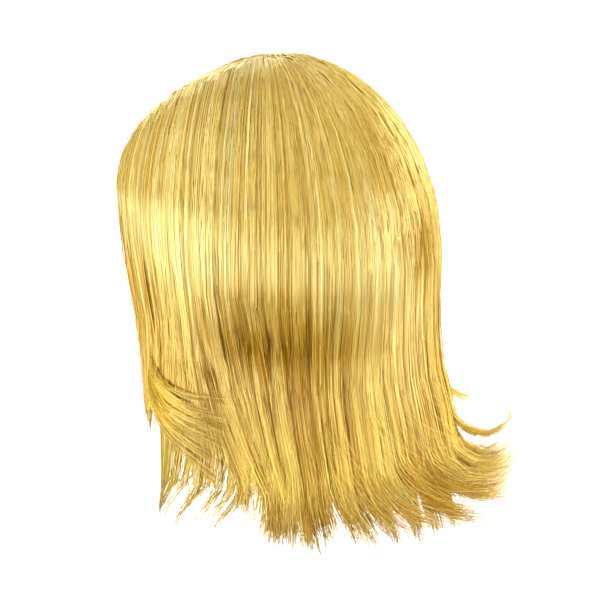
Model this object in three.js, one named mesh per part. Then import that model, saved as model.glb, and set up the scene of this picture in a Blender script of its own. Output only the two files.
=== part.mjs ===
// A shoulder-length wig: a hollow cap, outer hair that leaves a side parting and hangs in flipped locks,
// longer under rows below the cap's rim, and two face-framing locks that sweep back over the sides.
// Millimetres, +Z up. The face looks along -Y and the wearer's left is +X.
// The origin is the inside top of the cap, where the crown of the head sits.
import * as THREE from 'three';

const { clamp, degToRad, lerp, radToDeg, smoothstep } = THREE.MathUtils;

// The cap, for a head of about 560 mm round
const HEAD_HALF_BREADTH = 78.5;
const HEAD_HALF_LENGTH = 98.5;
const CAP_WALL = 2;
const SEAT_GAP = 0.8; // between two layers that lie on each other
const SECTION_GAP = 0.5; // between two sections that hang side by side

// The hair's outer form
const HAIR_DEPTH = 14.2; // over the cap
const LOW_HAIR_DEPTH = 7; // near the hem
const FACE_HAIR_DEPTH = 4; // beside the face
const FACE_BEARING = 120; // hair past this bearing thins towards the face
const FACE_EDGE = 142;
const THIN_FROM = 130; // the drops between which the hair thins
const THIN_TO = 230;
const FACE_THINS_EARLIER = 40;
const TIP_DEPTH = 1.6;
const CAP_DEPTH = HAIR_DEPTH + SEAT_GAP; // from the hair's outer form down to the cap
const TOP = CAP_DEPTH + CAP_WALL;
const HALF_BREADTH = HEAD_HALF_BREADTH + TOP;
const HALF_LENGTH = HEAD_HALF_LENGTH + TOP;
const WIDEST_DROP = 107; // from the top to the widest level, at the sides
const WIDEST_TILT = 25; // that level is lower at the back and higher at the face
const FULLNESS = 1.85; // 2 is a true ellipse, less is a flatter slope
const FULLNESS_SWING = 0.15;
const FULLEST_BEARING = -40;

// The parting swings from the crown to the wearer's left and runs forward
const CROWN_X = -4;
const CROWN_Y = -14;
const PARTING_X = 22;
const PARTING_FRONT_Y = -104;
const PARTING_BEND = 0.35; // the share of the way to the front in which it swings to the left
const PARTING_FAN = 50; // hair within this bearing of the back all leaves the crown
const PARTING_END = 148;
const ROOT_ANGLE = 2.2; // where the hair starts, from the parting, in degrees of the dome
const ROOT_DIP = 3; // how far the hair lies below its full form at the parting
const LIFT_ANGLE = 16;

// The hanging hair's outer form: how far it stands outside its widest line at each drop below the top.
// Bearings go round the head from the back, 0, to the wearer's left, 90, and the face, 180.
const FALL = [
  { drop: 80, front: 0, side: 0, backLeft: 0, backRight: 0 },
  { drop: 130, front: -4, side: -3, backLeft: 1, backRight: 0 },
  { drop: 150, front: -8, side: -6, backLeft: 1, backRight: -0.5 },
  { drop: 168, front: -12, side: -9, backLeft: -5, backRight: -1 },
  { drop: 186, front: -15, side: -10, backLeft: -13, backRight: 0 },
  { drop: 204, front: -17, side: -10, backLeft: -15.5, backRight: 1.5 },
  { drop: 235, front: -21, side: -8, backLeft: -10.5, backRight: 9 },
  { drop: 270, front: -25, side: -6, backLeft: -4, backRight: 14 },
  { drop: 340, front: -32, side: -4, backLeft: 0, backRight: 18 },
];
const FALL_COLUMNS = [
  { bearing: -150, column: 'front' },
  { bearing: -95, column: 'side' },
  { bearing: -35, column: 'backRight' },
  { bearing: 2, column: 'backRight' },
  { bearing: 50, column: 'backLeft' },
  { bearing: 94, column: 'side' },
  { bearing: 150, column: 'front' },
];
const HOLLOW = { bearing: 56, drop: 177, width: 14, height: 20, depth: 2.4 }; // where the hair is pressed in

// The ends round the head: each lock falls to its flip, then turns outwards through an arc. On its way down
// it leans round the head, between two drops.
const ENDS = [
  { bearing: -142, flipDrop: 212, radius: 300, turn: 6, lean: 0 },
  { bearing: -106, flipDrop: 210, radius: 300, turn: 5, lean: 0 },
  { bearing: -94, flipDrop: 230, radius: 300, turn: 5, lean: 0 },
  { bearing: -84, flipDrop: 266, radius: 60, turn: 24, lean: 0 },
  { bearing: -70, flipDrop: 266, radius: 40, turn: 60, lean: -1 },
  { bearing: -58, flipDrop: 251, radius: 25, turn: 132, lean: -2 },
  { bearing: -42, flipDrop: 253, radius: 23, turn: 148, lean: -3 },
  { bearing: -28, flipDrop: 252, radius: 23, turn: 145, lean: -4 },
  { bearing: -10, flipDrop: 253, radius: 24, turn: 130, lean: -4 },
  { bearing: 15, flipDrop: 256, radius: 26, turn: 107, lean: -4 },
  { bearing: 36, flipDrop: 263, radius: 34, turn: 64, lean: -6 },
  { bearing: 60, flipDrop: 272, radius: 48, turn: 36, lean: -14 },
  { bearing: 84, flipDrop: 268, radius: 60, turn: 24, lean: -24 },
  { bearing: 94, flipDrop: 224, radius: 300, turn: 5, lean: -8 },
  { bearing: 106, flipDrop: 208, radius: 300, turn: 5, lean: 0 },
  { bearing: 142, flipDrop: 212, radius: 300, turn: 6, lean: 3 },
];
const LEAN_FROM = 180;
const LEAN_TO = 315;

// The outer sections, and how uneven their locks' lengths are
const SECTIONS = [
  { name: 'hair_front_left', from: 142, to: 106, stagger: 8 },
  { name: 'hair_side_left', from: 106, to: 66, stagger: 4 },
  { name: 'hair_back_left', from: 66, to: 22, stagger: 5 },
  { name: 'hair_back_centre', from: 22, to: -22, stagger: 6 },
  { name: 'hair_back_right', from: -22, to: -66, stagger: 8 },
  { name: 'hair_side_right', from: -66, to: -106, stagger: 6 },
  { name: 'hair_front_right', from: -106, to: -142, stagger: 8 },
];
const LOCKS = 6; // in each section
const LOCK_STAGGER = [0.2, -1, 0.6, -0.4, 1, -0.7]; // which locks of a section end lower or higher
const GROOVE = 3; // depth of the groove between two locks
const NOTCH_SHARE = 0.3; // how much of the flip is left in the notch between two locks
const DOME_ROWS = 9;
const FALL_ROWS = 5;
const FLIP_ROWS = 4;

// The under rows, which hang below the cap's rim
const UNDER = [
  { name: 'under_left', from: 124, to: 62, locks: 6 },
  { name: 'under_back', from: 61, to: -61, locks: 10 },
  { name: 'under_right', from: -62, to: -124, locks: 6 },
];
const UNDER_FLIP = { drop: 262, radius: 150, turn: 12 };
const UNDER_DEPTH = 4;
const UNDER_GAP = 1.4; // between the under rows and the outer hair
const RIM_GAP = 3; // between the cap's rim and the roots of the under rows

// The cap's rim: its drop at the sides, how much lower the nape and higher the face are, and the ear tabs
const RIM_DROP = 116;
const RIM_TILT = 60;
const EAR_TAB = { bearing: 112, drop: 16, width: 20 };
const CAP_COLUMNS = 48;
const CAP_ROWS = 9;

// The swept locks: the two edges of the left one, from the front hair to its tips, as bearing and drop
const SWEPT = {
  upper: [{ bearing: 118, drop: 190 }, { bearing: 98, drop: 222 }, { bearing: 70, drop: 215 }],
  lower: [{ bearing: 124, drop: 214 }, { bearing: 102, drop: 238 }, { bearing: 72, drop: 268 }],
};
const SWEPT_LOCKS = 5;
const SWEPT_ROWS = 8;
const SWEPT_DEPTH = 5;
const SWEPT_ROOT_SHARE = 0.12; // how much of the swell along a swept lock lies before its start
const SWEPT_NOTCH = 0.84;
const SWEPT_GAP = 1.2; // between the ends of a swept lock and the hair below it
const SWEPT_BOW = 1.6; // how much further its middle stands off

const HAIR_GOLD = '#d8b15f';
const HAIR_SHADE = '#b98a3c';
const CAP_BEIGE = '#cdb795';

// The level, below the top, where the hair is widest at a bearing
function widestDrop(bearing) {
  return WIDEST_DROP + WIDEST_TILT * Math.cos(bearing);
}

// The widest line of the hair, seen from above, and the way out from it
function widestLine(bearing) {
  const point = new THREE.Vector3(HALF_BREADTH * Math.sin(bearing), HALF_LENGTH * Math.cos(bearing), 0);
  const out = new THREE.Vector3(Math.sin(bearing) / HALF_BREADTH, Math.cos(bearing) / HALF_LENGTH, 0);
  return { point, out: out.normalize() };
}

// How far the hanging hair stands outside its widest line, read between the columns and rows of FALL, less a
// bell-shaped hollow
function fallOffset(bearing, drop) {
  const last = FALL_COLUMNS.at(-1).bearing;
  const degrees = clamp(radToDeg(bearing), -last, last);
  const right = Math.max(1, FALL_COLUMNS.findIndex((column) => column.bearing >= degrees));
  const before = FALL_COLUMNS[right - 1];
  const after = FALL_COLUMNS[right];
  const below = FALL.findIndex((row) => row.drop >= drop);
  const next = below < 0 ? FALL.length - 1 : Math.max(1, below);
  const low = FALL[next];
  const high = FALL[next - 1];
  const share = clamp((drop - high.drop) / (low.drop - high.drop), 0, 1);
  const first = lerp(high[before.column], low[before.column], share);
  const second = lerp(high[after.column], low[after.column], share);
  const across = (degrees - HOLLOW.bearing) / HOLLOW.width;
  const along = (drop - HOLLOW.drop) / HOLLOW.height;
  const pressed = HOLLOW.depth * Math.exp(-(across ** 2) - along ** 2);
  return lerp(first, second, smoothstep(degrees, before.bearing, after.bearing)) - pressed;
}

// A point of the dome above a place in plan, at a depth below the hair's outer form
function domePoint(x, y, depth) {
  const across = x / HALF_BREADTH;
  const along = y / HALF_LENGTH;
  const reach = Math.min(Math.hypot(across, along), 1);
  const bearing = Math.atan2(across, along);
  const height = widestDrop(bearing);
  const power = FULLNESS + FULLNESS_SWING * Math.cos(bearing - degToRad(FULLEST_BEARING));
  const rise = (1 - reach ** power) ** (1 / power);
  const slope = reach > 0 ? reach ** (power - 2) : 0;
  const out = new THREE.Vector3(
    slope * across / HALF_BREADTH,
    slope * along / HALF_LENGTH,
    rise ** (power - 1) / height,
  );
  const drop = height * (1 - rise);
  const point = new THREE.Vector3(x, y, TOP - drop);
  point.addScaledVector(widestLine(bearing).out, fallOffset(bearing, drop));
  return point.addScaledVector(out.normalize(), -depth);
}

// A point of the hanging hair. A lock past its flip turns outwards along an arc.
function hangingPoint(bearing, drop, depth, radius = 1, arc = 0) {
  const { point, out } = widestLine(bearing);
  const low = drop + radius * Math.sin(arc);
  const reach = fallOffset(bearing, low) + radius * (1 - Math.cos(arc));
  point.z = TOP - low;
  point.addScaledVector(out, reach - depth * Math.cos(arc));
  point.z -= depth * Math.sin(arc);
  return point;
}

// Where the hair of a bearing leaves the parting
function rootPoint(bearing) {
  const share = smoothstep(Math.abs(bearing), degToRad(PARTING_FAN), degToRad(PARTING_END));
  const x = lerp(CROWN_X, PARTING_X, smoothstep(share, 0, PARTING_BEND));
  return new THREE.Vector3(x, lerp(CROWN_Y, PARTING_FRONT_Y, share), 0);
}

// A point of the hair over the dome: share 0 is at the parting, 1 at the widest line
function combedPoint(bearing, share, depth) {
  const spread = Math.sin(lerp(degToRad(ROOT_ANGLE), Math.PI / 2, share));
  const plan = rootPoint(bearing).lerp(widestLine(bearing).point, spread);
  return domePoint(plan.x, plan.y, depth);
}

// The thickness of the outer hair at a drop below the top: it thins below the cap, and more beside the face
function hairDepth(bearing, drop) {
  const nearFace = smoothstep(Math.abs(bearing), degToRad(FACE_BEARING), degToRad(FACE_EDGE));
  const low = lerp(LOW_HAIR_DEPTH, FACE_HAIR_DEPTH, nearFace);
  const start = THIN_FROM - FACE_THINS_EARLIER * nearFace;
  const end = THIN_TO - FACE_THINS_EARLIER * nearFace;
  return lerp(HAIR_DEPTH, low, smoothstep(drop, start, end));
}

// One closed shell from a grid of outer points and a grid of inner points. A dome joins its last column to
// its first and its top row is one point, and any other shell has a wall at its top and at both side edges.
function shell(columns, rows, pointAt, dome = false) {
  const across = dome ? columns : columns + 1;
  const positions = [];
  for (const side of ['outer', 'inner']) {
    for (let row = 0; row <= rows; row += 1) {
      for (let column = 0; column < across; column += 1) {
        positions.push(...pointAt(column, row, side).toArray());
      }
    }
  }
  const layer = across * (rows + 1);
  const outer = (column, row) => row * across + (dome && row === 0 ? 0 : column % across);
  const inner = (column, row) => layer + outer(column, row);
  const triangles = [];
  const quad = (a, b, c, d) => triangles.push(a, b, c, ...(a === d ? [] : [a, c, d]));
  for (let row = 0; row < rows; row += 1) {
    for (let column = 0; column < columns; column += 1) {
      quad(outer(column, row), outer(column, row + 1), outer(column + 1, row + 1), outer(column + 1, row));
      quad(inner(column + 1, row), inner(column + 1, row + 1), inner(column, row + 1), inner(column, row));
    }
  }
  for (let column = 0; column < columns; column += 1) {
    quad(outer(column, rows), inner(column, rows), inner(column + 1, rows), outer(column + 1, rows));
  }
  for (let column = 0; column < columns && !dome; column += 1) {
    quad(outer(column, 0), outer(column + 1, 0), inner(column + 1, 0), inner(column, 0));
  }
  for (let row = 0; row < rows && !dome; row += 1) {
    quad(outer(0, row), inner(0, row), inner(0, row + 1), outer(0, row + 1));
    quad(outer(columns, row), outer(columns, row + 1), inner(columns, row + 1), inner(columns, row));
  }
  const geometry = new THREE.BufferGeometry();
  geometry.setAttribute('position', new THREE.Float32BufferAttribute(positions, 3));
  geometry.setIndex(triangles);
  geometry.computeVertexNormals();
  return geometry;
}

// Moves a side edge's point half the section gap into its own section
function drawnIn(point, neighbour, isEdge) {
  if (!isEdge) {
    return point;
  }
  const inwards = neighbour.clone().sub(point).normalize();
  return point.addScaledVector(inwards, SECTION_GAP / 2);
}

// The bearing of a lock's column: even columns are grooves and odd ones crests
function columnBearing(section, column, locks) {
  return degToRad(lerp(section.from, section.to, column / (2 * locks)));
}

// How far a column's lock ends below its section's own hem; a groove takes the mean of its two locks
function columnStagger(column, locks) {
  const left = Math.max(0, Math.ceil(column / 2) - 1);
  const right = Math.min(locks - 1, Math.floor(column / 2));
  const of = (lock) => LOCK_STAGGER[lock % LOCK_STAGGER.length];
  return (of(left) + of(right)) / 2;
}

// The ends at a bearing, read between the rows of ENDS
function endsAt(bearing) {
  const degrees = radToDeg(bearing);
  const next = Math.max(1, ENDS.findIndex((row) => row.bearing >= degrees - 1e-6));
  const before = ENDS[next - 1];
  const after = ENDS[next];
  const share = (degrees - before.bearing) / (after.bearing - before.bearing);
  const at = (key) => lerp(before[key], after[key], share);
  const turn = degToRad(at('turn'));
  const lean = degToRad(at('lean'));
  return { flipDrop: at('flipDrop'), radius: at('radius'), turn, lean };
}

// One outer section: combed over the dome, hanging, then flipped
function hairSection(section) {
  const columns = 2 * LOCKS;
  const rows = DOME_ROWS + FALL_ROWS + FLIP_ROWS;
  const place = (column, row, side, bearing) => {
    const groove = column % 2 === 0 ? GROOVE : 0;
    const ends = endsAt(bearing);
    const flipDrop = ends.flipDrop + section.stagger * columnStagger(column, LOCKS);
    const leaned = (drop) => bearing + ends.lean * smoothstep(drop, LEAN_FROM, LEAN_TO);
    if (row <= DOME_ROWS) {
      const share = row / DOME_ROWS;
      const dip = ROOT_DIP * (1 - smoothstep(share * 90, 0, LIFT_ANGLE));
      return combedPoint(bearing, share, side === 'outer' ? dip + groove * share : HAIR_DEPTH);
    }
    if (row <= DOME_ROWS + FALL_ROWS) {
      const drop = lerp(widestDrop(bearing), flipDrop, (row - DOME_ROWS) / FALL_ROWS);
      return hangingPoint(leaned(drop), drop, side === 'outer' ? groove : hairDepth(bearing, drop));
    }
    const share = (row - DOME_ROWS - FALL_ROWS) / FLIP_ROWS;
    const arc = ends.turn * share * (groove > 0 ? NOTCH_SHARE : 1);
    const outerDepth = groove * (1 - share);
    const innerDepth = lerp(hairDepth(bearing, flipDrop), TIP_DEPTH, share);
    const depth = side === 'outer' ? outerDepth : innerDepth;
    return hangingPoint(leaned(flipDrop), flipDrop, depth, ends.radius, arc);
  };
  const pointAt = (column, row, side) => {
    const bearing = columnBearing(section, column, LOCKS);
    const step = column === 0 ? 1 : -1;
    const point = place(column, row, side, bearing);
    const neighbour = place(column, row, side, columnBearing(section, column + step, LOCKS));
    return drawnIn(point, neighbour, column === 0 || column === columns);
  };
  return shell(columns, rows, pointAt);
}

// The drop of the cap's rim at a bearing
function rimDrop(bearing) {
  const fromTab = (Math.abs(bearing) - degToRad(EAR_TAB.bearing)) / degToRad(EAR_TAB.width);
  return RIM_DROP + RIM_TILT * Math.cos(bearing) + EAR_TAB.drop * Math.exp(-fromTab * fromTab);
}

// One under section, hung from the cap's rim
function underSection(section) {
  const columns = 2 * section.locks;
  const rows = FALL_ROWS + FLIP_ROWS;
  const pointAt = (column, row, side) => {
    const bearing = columnBearing(section, column, section.locks);
    const isGroove = column % 2 === 0;
    const start = rimDrop(bearing) + RIM_GAP;
    const fall = Math.min(row / FALL_ROWS, 1);
    const drop = lerp(start, UNDER_FLIP.drop, fall);
    const flip = Math.max(0, row - FALL_ROWS) / FLIP_ROWS;
    const arc = degToRad(UNDER_FLIP.turn) * flip * (isGroove ? NOTCH_SHARE : 1);
    const outerDepth = hairDepth(bearing, drop) + UNDER_GAP + (isGroove ? fall * (1 - flip) : 0);
    const thickness = lerp(UNDER_DEPTH, TIP_DEPTH, flip);
    const depth = side === 'outer' ? outerDepth : outerDepth + thickness;
    return hangingPoint(bearing, drop, depth, UNDER_FLIP.radius, arc);
  };
  return shell(columns, rows, pointAt);
}

// The hollow cap: a dome that is open at its rim. Its rows run down the dome, then on below its widest line.
function capShell() {
  const pointAt = (column, row, side) => {
    const bearing = Math.PI - (column / CAP_COLUMNS) * 2 * Math.PI;
    const depth = side === 'outer' ? CAP_DEPTH : CAP_DEPTH + CAP_WALL;
    const widest = widestDrop(bearing);
    const rim = rimDrop(bearing);
    const domeRun = widest * Math.acos(Math.max(0, 1 - rim / widest));
    const run = (domeRun + Math.max(0, rim - widest)) * row / CAP_ROWS;
    if (run > domeRun) {
      return hangingPoint(bearing, widest + run - domeRun, depth);
    }
    const plan = widestLine(bearing).point.multiplyScalar(Math.sin(run / widest));
    return domePoint(plan.x, plan.y, depth);
  };
  return shell(CAP_COLUMNS, CAP_ROWS, pointAt, true);
}

// A swept lock, lying on the side hair; side is 1 on the wearer's left and -1 on the right
function sweptLock(side) {
  const curve = (points, share) => {
    const [start, bend, tip] = points;
    const along = (key) => lerp(
      lerp(start[key], bend[key], share),
      lerp(bend[key], tip[key], share),
      share,
    );
    return { bearing: along('bearing'), drop: along('drop') };
  };
  const columns = 2 * SWEPT_LOCKS;
  const pointAt = (column, row, face) => {
    const isGroove = column % 2 === 0;
    const share = (row / SWEPT_ROWS) * (isGroove ? SWEPT_NOTCH : 1);
    const upper = curve(SWEPT.upper, share);
    const lower = curve(SWEPT.lower, share);
    const across = column / columns;
    const bearing = degToRad(lerp(upper.bearing, lower.bearing, across));
    const drop = lerp(upper.drop, lower.drop, across);
    const taper = Math.sin(Math.PI * lerp(SWEPT_ROOT_SHARE, 1, row / SWEPT_ROWS));
    const thickness = TIP_DEPTH + (SWEPT_DEPTH - TIP_DEPTH) * taper - (isGroove ? taper : 0);
    const stand = SWEPT_GAP + SWEPT_BOW * Math.sin(Math.PI * row / SWEPT_ROWS);
    return hangingPoint(side * bearing, drop, face === 'outer' ? -stand - thickness : -stand);
  };
  const mirrored = (column, row, face) => pointAt(columns - column, row, face);
  return shell(columns, SWEPT_ROWS, side > 0 ? mirrored : pointAt);
}

const wig = new THREE.Group();

function addPiece(name, geometry, color, roughness) {
  const material = new THREE.MeshStandardMaterial({ color, roughness, metalness: 0 });
  const mesh = new THREE.Mesh(geometry, material);
  mesh.name = name;
  wig.add(mesh);
}

addPiece('cap', capShell(), CAP_BEIGE, 0.8);
for (const section of SECTIONS) {
  addPiece(section.name, hairSection(section), HAIR_GOLD, 0.45);
}
for (const section of UNDER) {
  addPiece(section.name, underSection(section), HAIR_SHADE, 0.45);
}
addPiece('swept_left', sweptLock(1), HAIR_GOLD, 0.45);
addPiece('swept_right', sweptLock(-1), HAIR_GOLD, 0.45);

export default wig;
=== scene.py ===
# %% [markdown]
# # A shoulder-length wig
# A wig is a net cap with thousands of fibres on it. The solid model already holds the cap and the outer form
# of the hair in sections. Here each section gets its real surface: single strands, gathered in wisps and
# locks, over a closed body of hair. Blender has hair curves for this, but strands that are part of the
# object have to be meshes, so every strand is a thin closed tube, worked out with all others of its section.

# %% Load the frame
from typing import NamedTuple

import bpy
import numpy as np
from mathutils import Matrix


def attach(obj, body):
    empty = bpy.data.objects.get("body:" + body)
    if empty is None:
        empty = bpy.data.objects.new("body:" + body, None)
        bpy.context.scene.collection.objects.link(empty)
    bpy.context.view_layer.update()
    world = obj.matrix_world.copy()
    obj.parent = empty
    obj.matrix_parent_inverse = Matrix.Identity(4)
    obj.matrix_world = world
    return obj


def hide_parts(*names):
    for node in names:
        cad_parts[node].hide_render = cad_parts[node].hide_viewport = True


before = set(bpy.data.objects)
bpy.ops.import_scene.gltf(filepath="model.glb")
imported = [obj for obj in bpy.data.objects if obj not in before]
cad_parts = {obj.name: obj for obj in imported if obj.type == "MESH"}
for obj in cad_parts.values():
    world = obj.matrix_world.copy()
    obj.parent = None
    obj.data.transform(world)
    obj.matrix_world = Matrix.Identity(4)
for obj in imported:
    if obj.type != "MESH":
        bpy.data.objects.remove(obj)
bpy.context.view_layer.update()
MM = 0.001
print("solids:", sorted(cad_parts))


# %% [markdown]
# ## The form of the hair
# Combed hair lies on a form: a dome from the parting to the widest line, then a fall that draws in at the
# neck and spreads again. One could sculpt that form. Here it is a formula in two numbers, the bearing round
# the head (0 at the back, 90 at the wearer's left, 180 at the face) and the drop below the top, because
# strands, body and cap can then all ask for their place at any depth below the surface. Sizes are in
# millimetres.

# %% Helpers for blends and tables
def lerp(a, b, share):
    """A share of the way from a to b."""
    return a + (b - a) * share


def smooth(low, high, x):
    """0 below low, 1 above high, and an S-shaped rise between them."""
    t = np.clip((x - low) / (high - low), 0, 1)
    return t * t * (3 - 2 * t)


def through(xs, ys, x):
    """A smooth curve through a table: a cubic between two rows, with slopes taken from the rows around."""
    xs = np.asarray(xs, float)
    ys = np.asarray(ys, float)
    slopes = np.gradient(ys, xs)
    row = np.clip(np.searchsorted(xs, x) - 1, 0, len(xs) - 2)
    span = xs[row + 1] - xs[row]
    t = np.clip((x - xs[row]) / span, 0, 1)
    start = (ys[row] * (1 + 2 * t) + span * slopes[row] * t) * (1 - t) ** 2
    end = (ys[row + 1] * (3 - 2 * t) + span * slopes[row + 1] * (t - 1)) * t * t
    return start + end


def unit(vectors):
    """Vectors scaled to length 1."""
    return vectors / np.maximum(np.linalg.norm(vectors, axis=-1, keepdims=True), 1e-9)


print("a smooth rise after a quarter of its way:", smooth(0, 1, 0.25))

# %% The fall, below the widest line
TOP = 17.0
HEAD_HALF_BREADTH = 78.5
HEAD_HALF_LENGTH = 98.5
HALF_BREADTH = HEAD_HALF_BREADTH + TOP
HALF_LENGTH = HEAD_HALF_LENGTH + TOP
FALL_DROPS = (80, 130, 150, 168, 186, 204, 235, 270, 340)
FALL = {
    "front": (0, -4, -8, -12, -15, -17, -21, -25, -32),
    "side": (0, -3, -6, -9, -10, -10, -8, -6, -4),
    "back_left": (0, 1, 1, -5, -13, -15.5, -10.5, -4, 0),
    "back_right": (0, 0, -0.5, -1, 0, 1.5, 9, 14, 18),
}
# From each of these bearings to the next, one curve blends into the other.
FALL_COLUMNS = (
    (-150, "front"), (-95, "side"), (-35, "back_right"), (0, "back_right"),
    (43, "back_left"), (58, "back_left"), (96, "side"), (150, "front"),
)
# Bearing and drop of a hollow, its half width in degrees, its half height, and how deep it is.
HOLLOWS = (
    (56, 177, 12, 13, 5.0),
    (27, 158, 8, 12, 1.2),
    (80, 212, 2.2, 36, 3.5),
)


def patches(table, bearing, drop):
    """A sum of soft round patches: each is a bell shape across its bearing and across its drop."""
    total = 0
    for middle, level, half_width, half_height, much in table:
        across = (np.degrees(bearing) - middle) / half_width
        total = total + much * np.exp(-across ** 2 - ((drop - level) / half_height) ** 2)
    return total


def fall_offset(bearing, drop):
    """How far the hair stands outside its widest line: the curves, blended, less bell-shaped hollows."""
    curves = {name: through(FALL_DROPS, column, drop) for name, column in FALL.items()}
    total = curves[FALL_COLUMNS[0][1]]
    for (first, before), (second, after) in zip(FALL_COLUMNS, FALL_COLUMNS[1:]):
        step = smooth(np.radians(first), np.radians(second), bearing)
        total = total + step * (curves[after] - curves[before])
    return total - patches(HOLLOWS, bearing, drop)


def outwards(bearing):
    """The level direction that points out from the widest line, an ellipse seen from above."""
    return unit(np.stack([np.sin(bearing) / HALF_BREADTH, np.cos(bearing) / HALF_LENGTH], -1))


def hanging_points(bearing, drop, depth, radius=1.0, arc=0.0):
    """A point out from the widest line by the fall's offset; past its flip it turns out along an arc."""
    low = drop + radius * np.sin(arc)
    reach = fall_offset(bearing, low) + radius * (1 - np.cos(arc)) - depth * np.cos(arc)
    widest = np.stack([HALF_BREADTH * np.sin(bearing), HALF_LENGTH * np.cos(bearing)], -1)
    plan = widest + reach[..., None] * outwards(bearing)
    return np.concatenate([plan, (TOP - low - depth * np.sin(arc))[..., None]], -1)


print("hair form:", 2 * HALF_BREADTH, "by", 2 * HALF_LENGTH, "mm in plan")

# %% The dome, from the crown to the widest line
WIDEST_DROP = 107.0
WIDEST_TILT = 25.0
FULLNESS = 1.85
FULLNESS_SWING = 0.15
FULLEST_BEARING = np.radians(-40)


def widest_drop(bearing):
    """Drop from the top to the widest level: lower at the back, higher at the face."""
    return WIDEST_DROP + WIDEST_TILT * np.cos(bearing)


def dome_points(x, y, depth):
    """Height over a place in plan: reach**n + rise**n = 1 on an ellipse, less the depth along its normal."""
    across = x / HALF_BREADTH
    along = y / HALF_LENGTH
    reach = np.clip(np.hypot(across, along), 1e-6, 1)
    bearing = np.arctan2(across, along)
    height = widest_drop(bearing)
    power = FULLNESS + FULLNESS_SWING * np.cos(bearing - FULLEST_BEARING)
    rise = (1 - reach ** power) ** (1 / power)
    drop = height * (1 - rise)
    plan = np.stack([x, y], -1) + fall_offset(bearing, drop)[..., None] * outwards(bearing)
    slope = reach ** (power - 2)
    normal = np.stack(
        [slope * across / HALF_BREADTH, slope * along / HALF_LENGTH, rise ** (power - 1) / height], -1
    )
    return np.concatenate([plan, (TOP - drop)[..., None]], -1) - depth[..., None] * unit(normal)


print("the dome is widest", WIDEST_DROP, "mm below the top at the sides")

# %% From the parting to the flip
CROWN_X = -4.0
CROWN_Y = -14.0
PARTING_X = 22.0
PARTING_FRONT_Y = -104.0
PARTING_BEND = 0.35
PARTING_FAN = np.radians(50)
PARTING_END = np.radians(148)
ROOT_SPREAD = np.sin(np.radians(0.5))


def root_place(bearing):
    """Where the hair of a bearing leaves the parting, which swings left from the crown and runs forward."""
    forward = smooth(PARTING_FAN, PARTING_END, np.abs(bearing))
    x = lerp(CROWN_X, PARTING_X, smooth(0, PARTING_BEND, forward))
    return x, lerp(CROWN_Y, PARTING_FRONT_Y, forward)


def combed_points(bearing, stage, depth, flip_drop, radius, turn):
    """Stage 0 to 1 runs from the parting over the dome, 1 to 2 down the fall, and 2 to 3 round the flip."""
    spread = np.maximum(np.sin(np.pi / 2 * np.clip(stage, 0, 1)), ROOT_SPREAD)
    root_x, root_y = root_place(bearing)
    x = lerp(root_x, HALF_BREADTH * np.sin(bearing), spread)
    y = lerp(root_y, HALF_LENGTH * np.cos(bearing), spread)
    drop = lerp(widest_drop(bearing), flip_drop, np.clip(stage - 1, 0, 1))
    arc = turn * np.clip(stage - 2, 0, None)
    hanging = hanging_points(bearing, drop, depth, radius, arc)
    return np.where((stage < 1)[..., None], dome_points(x, y, depth), hanging)


print("the parting is", CROWN_Y - PARTING_FRONT_Y, "mm long from the crown to the forehead")

# %% [markdown]
# ## The camera, the floor and the light
# The view is from behind, on the wearer's left, from a little above. The camera is set by its turn round the
# wig, its rise and the millimetres that one pixel covers at the wig, so the framing follows from sizes and
# not from trial. A turn starts in front of the face and goes round by the wearer's left. A large pale floor
# and soft lamps give a studio look. Two big lamps at about the hair's own height show a glossy band round
# the widest part, and leave darker hair where the form draws in. Lamps at the side and beyond the wig give
# the dome and the flipped ends their pale edge.

# %% Camera
CAMERA_TURN = np.radians(132)
CAMERA_RISE = np.radians(10)
CAMERA_AWAY = 1.4
PIXELS = 600
PIXEL_SIZE = 0.6625
FRAME_WIDTH = PIXELS * PIXEL_SIZE * MM
AIM_HEIGHT = -0.147
AIM_ASIDE = 0.015
SENSOR = 36.0


def facing(turn, rise):
    """Axes of something that looks at the wig from a turn and a rise: to its right, up, and back."""
    back = np.array([np.sin(turn) * np.cos(rise), -np.cos(turn) * np.cos(rise), np.sin(rise)])
    right = np.array([np.cos(turn), np.sin(turn), 0.0])
    return right, np.cross(back, right), back


def set_facing(thing, turn, rise, away, aim):
    """Places a camera or a lamp at a distance from the point it looks at."""
    right, up, back = facing(turn, rise)
    axes = np.eye(4)
    axes[:3, :3] = np.stack([right, up, back], -1)
    axes[:3, 3] = aim + away * back
    thing.matrix_world = Matrix(axes.tolist())
    bpy.context.scene.collection.objects.link(thing)


camera_data = bpy.data.cameras.new("camera")
camera_data.sensor_width = SENSOR
camera_data.lens = SENSOR * CAMERA_AWAY / FRAME_WIDTH
camera = bpy.data.objects.new("camera", camera_data)
aim = np.array([0, 0, AIM_HEIGHT]) + AIM_ASIDE * facing(CAMERA_TURN, CAMERA_RISE)[0]
set_facing(camera, CAMERA_TURN, CAMERA_RISE, CAMERA_AWAY, aim)
bpy.context.scene.camera = camera
print("lens", round(camera_data.lens, 1), "mm for a frame", round(FRAME_WIDTH, 4), "m wide")

# %% Lamps and the surrounding light
# Turn and rise of a lamp in degrees, its distance, width and height in metres, and its power in watts.
LAMPS = (
    ("key", 78, -7, 1.5, 1.4, 1.0, 34.5),
    ("fill", 186, 5, 1.8, 1.4, 1.0, 34.0),
    ("front", 126, -8, 1.9, 0.9, 0.6, 12.0),
    ("top", 88, 55, 1.6, 1.4, 1.4, 9.0),
    ("side", 226, 36, 1.8, 1.0, 1.0, 17.0),
    ("back", 318, 35, 2.0, 2.0, 1.0, 26.0),
)
SURROUND_ABOVE = 0.44
SURROUND_BELOW = 0.2
SURROUND_BLEND = 0.6
SURROUND_TINT = (1.0, 0.985, 0.96, 1.0)

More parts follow.
